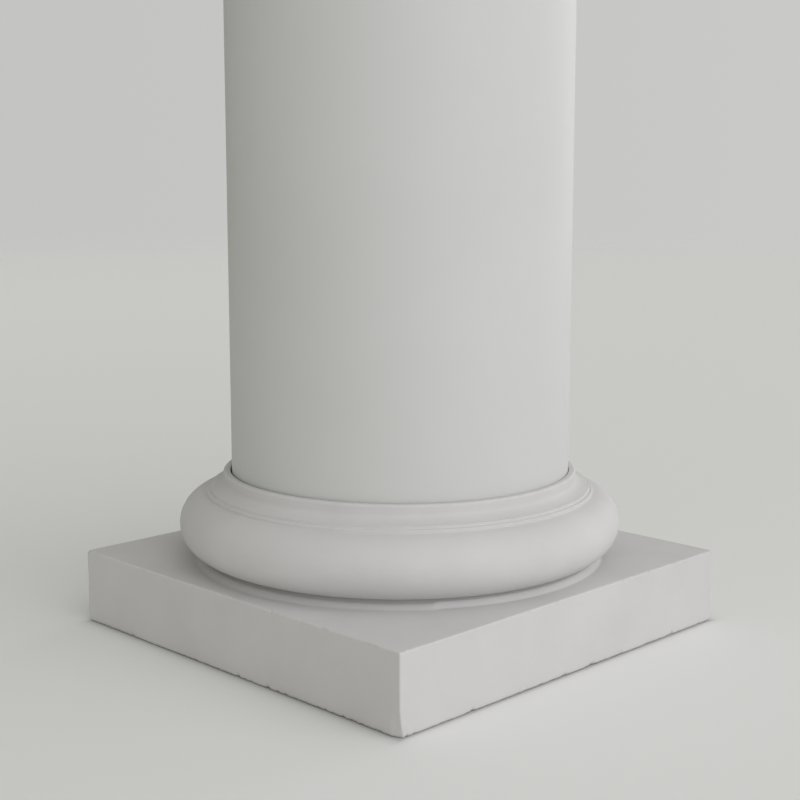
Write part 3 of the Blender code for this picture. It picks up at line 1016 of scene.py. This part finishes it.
def shaft_tree():
    """Geometry tree for the shaft: its outline by the rule of its taper, turned about the axis."""
    inputs = (
        ("Start", "NodeSocketGeometry"),
        ("Bottom", "NodeSocketFloat"),
        ("Top", "NodeSocketFloat"),
        ("Foot Radius", "NodeSocketFloat"),
        ("Neck Radius", "NodeSocketFloat"),
        ("Taper Start", "NodeSocketFloat"),
        ("Taper End", "NodeSocketFloat"),
        ("Taper Sweep", "NodeSocketFloat"),
        ("Rows", "NodeSocketInt", 100),
        ("Turning Steps", "NodeSocketInt", 240),
        ("Unevenness", "NodeSocketFloat", 0.0001),
        ("Wave Length", "NodeSocketFloat", 0.05),
        ("Seed", "NodeSocketFloat", 0.0),
        ("Finish", "NodeSocketMaterial"),
    )
    tree, given = new_group("drawn-in shaft", "GeometryNodeTree", inputs, [("Shaft", "NodeSocketGeometry")])
    count = math_node(tree, "ADD", given["Rows"], 2.0)
    line = add_node(tree, "GeometryNodeMeshLine", {"Count": count}).outputs[0]
    index = add_node(tree, "GeometryNodeInputIndex").outputs[0]
    span = {"Value": index, "From Min": 1.0, "From Max": given["Rows"]}
    span["To Min"], span["To Max"] = given["Bottom"], given["Top"]
    height = add_node(tree, "ShaderNodeMapRange", span, clamp=True).outputs[0]
    taper = {"Value": height, "From Min": given["Taper Start"], "From Max": given["Taper End"]}
    share = add_node(tree, "ShaderNodeMapRange", taper, clamp=True).outputs[0]
    turned_by = math_node(tree, "MULTIPLY", share, given["Taper Sweep"])
    drawn = math_node(tree, "SUBTRACT", 1.0, math_node(tree, "COSINE", turned_by))
    most = math_node(tree, "SUBTRACT", 1.0, math_node(tree, "COSINE", given["Taper Sweep"]))
    narrowing = math_node(tree, "SUBTRACT", given["Neck Radius"], given["Foot Radius"])
    change = math_node(tree, "MULTIPLY", narrowing, math_node(tree, "DIVIDE", drawn, most))
    radius = math_node(tree, "ADD", given["Foot Radius"], change)
    # The first and last rows lie on the axis and close the drum's ends
    above_first = math_node(tree, "GREATER_THAN", index, 0.5)
    below_last = math_node(tree, "LESS_THAN", index, math_node(tree, "ADD", given["Rows"], 0.5))
    open_row = math_node(tree, "MULTIPLY", above_first, below_last)
    section = {"X": math_node(tree, "MULTIPLY", radius, open_row), "Z": height}
    place = add_node(tree, "ShaderNodeCombineXYZ", section).outputs[0]
    outline = add_node(tree, "GeometryNodeSetPosition", {"Geometry": line, "Position": place}).outputs[0]
    passed_on = ("Turning Steps", "Unevenness", "Wave Length", "Seed", "Finish")
    turning_inputs = {"Outline": outline, **{label: given[label] for label in passed_on}}
    turning = add_node(tree, "GeometryNodeGroup", turning_inputs, node_tree=turned_outline)
    add_node(tree, "NodeGroupOutput", {"Shaft": turning.outputs[0]})
    return tree


shaft_material = cast_material(
    "satin white shaft",
    {"Grain Size": 0.0016, "Pinhole Spacing": 0.035, "Pinhole Size": 0.02, "Drift Size": 0.30},
    {
        "Light": SHAFT_LIGHT_COLOUR,
        "Deep": SHAFT_DEEP_COLOUR,
        "Worn": SHAFT_WORN_COLOUR,
        "Hollow": SHAFT_PAINTED_SHADE_COLOUR,
        "Patch Size": 0.02,
    },
    roughness=(0.50, 0.60),
    bump_depth=0.00004,
    specular=0.30,
)
shaft_mesh = grow(
    bpy.data.meshes.new("start"),
    shaft_tree(),
    bottom=shaft_low[2],
    top=shaft_high[2],
    foot_radius=SHAFT_RADIUS - SHAFT_UNEVENNESS,
    neck_radius=NECK_RADIUS,
    taper_start=TAPER_START,
    taper_end=CAPITAL_BOTTOM,
    taper_sweep=TAPER_SWEEP,
    rows=SHAFT_ROWS,
    turning_steps=SHAFT_TURNING_STEPS,
    unevenness=SHAFT_UNEVENNESS,
    wave_length=SHAFT_WAVE_LENGTH,
    seed=SHAFT_SEED,
    finish=shaft_material,
)
shaft_edges = [(SHAFT_RADIUS, shaft_low[2]), (NECK_RADIUS, shaft_high[2])]
shaft_hollows = [(SHAFT_RADIUS, BASE_TOP - LIP_ROUND), (NECK_RADIUS, CAPITAL_BOTTOM + LIP_ROUND)]
mark(shaft_mesh, "arris", shaft_edges, [], SHAFT_ARRIS_REACH)
# Painted shade where the shaft goes into the lips of base and capital
mark(shaft_mesh, "hollow", shaft_hollows, [], SHAFT_HOLLOW_REACH)
add_piece("shaft_drum", shaft_mesh, shaft_material, "shaft")

# Capital
# One casting like the base and plainer: a lip, a cove and a fine step, the swelling echinus, a fillet and the
# square abacus, whose top is left flat for what the column carries. It sits over the top of the shaft.

ABACUS_HALF = capital_high[0]
COLUMN_TOP = capital_high[2]
ABACUS_HEIGHT = 0.0520
ECHINUS_SWELL = 0.0270
ECHINUS_HEIGHT = 0.0440
ECHINUS_FILLET_HEIGHT = 0.0060
ECHINUS_FILLET_SETBACK = 0.0020
ECHINUS_START = 272  # degrees
ECHINUS_END = 358  # degrees
ECHINUS_STEPS = 22
ABACUS_CORNER_ROUNDS = (0.0022, 0.0026, 0.0024, 0.0020)
ABACUS_TOP_ROUND = ARRIS_ROUND * 0.8
ABACUS_WAVE_LENGTH = 0.05
ABACUS_FOOT_SEEDS = (4.4, 6.2)
ABACUS_TOP_SEEDS = (9.6, 7.7)
CAPITAL_HOLLOW_REACH = 0.0016

CAP_SEAT_RADIUS = NECK_RADIUS + SIDE_GAP
CAP_LIP_RADIUS = CAP_SEAT_RADIUS + LIP_WIDTH
CAP_STEP_RADIUS = CAP_LIP_RADIUS + COVE_WIDTH + UPPER_LEDGE
ECHINUS_RADIUS = CAP_STEP_RADIUS + ECHINUS_SWELL
FILLET_RADIUS = ECHINUS_RADIUS - ECHINUS_FILLET_SETBACK
ABACUS_BOTTOM = COLUMN_TOP - ABACUS_HEIGHT
ECHINUS_TOP = ABACUS_BOTTOM - ECHINUS_FILLET_HEIGHT
ECHINUS_BOTTOM = ECHINUS_TOP - ECHINUS_HEIGHT
CAP_STEP_BOTTOM = ECHINUS_BOTTOM - UPPER_STEP_HEIGHT
CAP_COVE_BOTTOM = CAP_STEP_BOTTOM - COVE_HEIGHT

CAPITAL_TURNING_STEPS = 400
CAPITAL_SEED = 23.0


def capital_outline():
    """Section of the capital's mouldings, from the middle of its seat round the lip and up to the abacus."""
    seat_ceiling = CAPITAL_BOTTOM + SEAT_DEPTH
    throat = (NECK_RADIUS + LIP_GAP, CAPITAL_BOTTOM + THROAT_DEPTH)
    seat = [(0.0, seat_ceiling), (CAP_SEAT_RADIUS, seat_ceiling), throat]
    cove = cove_arc(CAP_LIP_RADIUS, CAP_COVE_BOTTOM, -1)
    middle = (CAP_STEP_RADIUS, ECHINUS_TOP)
    echinus = arc(middle, ECHINUS_SWELL, ECHINUS_HEIGHT, ECHINUS_START, ECHINUS_END, ECHINUS_STEPS)
    step = [cove[-1], (CAP_STEP_RADIUS, CAP_STEP_BOTTOM), (CAP_STEP_RADIUS, ECHINUS_BOTTOM), echinus[0]]
    fillet = [
        echinus[-1],
        (ECHINUS_RADIUS, ECHINUS_TOP),
        (FILLET_RADIUS, ECHINUS_TOP),
        (FILLET_RADIUS, ABACUS_BOTTOM - STEP_EASING),
        (FILLET_RADIUS + STEP_EASING, ABACUS_BOTTOM),
    ]
    outline = eased_line(seat, SEAT_EASING)
    outline += lip_crest(NECK_RADIUS, CAP_LIP_RADIUS, CAPITAL_BOTTOM, -1)
    outline += cove[:-1]
    outline += eased_line(step, STEP_EASING)[:-1]
    outline += echinus[:-1]
    outline += eased_line(fillet, STEP_EASING)
    return outline


def abacus_wear(place, seeds):
    """Depth of wear on either arris of the abacus."""
    wave = TOP_WAVE * waviness(place, ABACUS_WAVE_LENGTH, seeds[0])
    return wave + TOP_CRUMBLE * crumble(place, TOP_CRUMBLE_SIZE, seeds[1])


capital_moulding = grow(
    outline_mesh(capital_outline()),
    turned_outline,
    turning_steps=CAPITAL_TURNING_STEPS,
    unevenness=BASE_UNEVENNESS,
    wave_length=BASE_WAVE_LENGTH,
    seed=CAPITAL_SEED,
    finish=base_material,
)
abacus_loops = block_loops(
    square_stations(ABACUS_HALF, ABACUS_CORNER_ROUNDS, []),
    block_rows(ARRIS_ROUND, ABACUS_TOP_ROUND, ABACUS_HEIGHT),
    ABACUS_BOTTOM,
    -1.0,
    lambda place, distance: abacus_wear(place, ABACUS_FOOT_SEEDS),
    lambda place, distance: abacus_wear(place, ABACUS_TOP_SEEDS),
)
capital_mesh = cast_in_one(
    "capital_casting",
    capital_moulding,
    abacus_loops,
    FILLET_RADIUS + STEP_EASING,
    ABACUS_BOTTOM,
    COLUMN_TOP,
)
capital_edges = [
    (CAP_STEP_RADIUS, CAP_STEP_BOTTOM),
    (CAP_LIP_RADIUS - LIP_ROUND / 2, CAPITAL_BOTTOM),
    (ECHINUS_RADIUS, ECHINUS_TOP),
]
capital_hollows = [(CAP_STEP_RADIUS, ECHINUS_BOTTOM), (FILLET_RADIUS, ABACUS_BOTTOM)]
abacus_edges = [(ABACUS_HALF, ABACUS_BOTTOM), (ABACUS_HALF, COLUMN_TOP)]
mark(capital_mesh, "arris", capital_edges, abacus_edges, ARRIS_REACH)
# Painted shade in the capital's inner corners, at the foot of the echinus and under the abacus
mark(capital_mesh, "hollow", capital_hollows, [], CAPITAL_HOLLOW_REACH)
add_piece("capital_casting", capital_mesh, base_material, "capital")
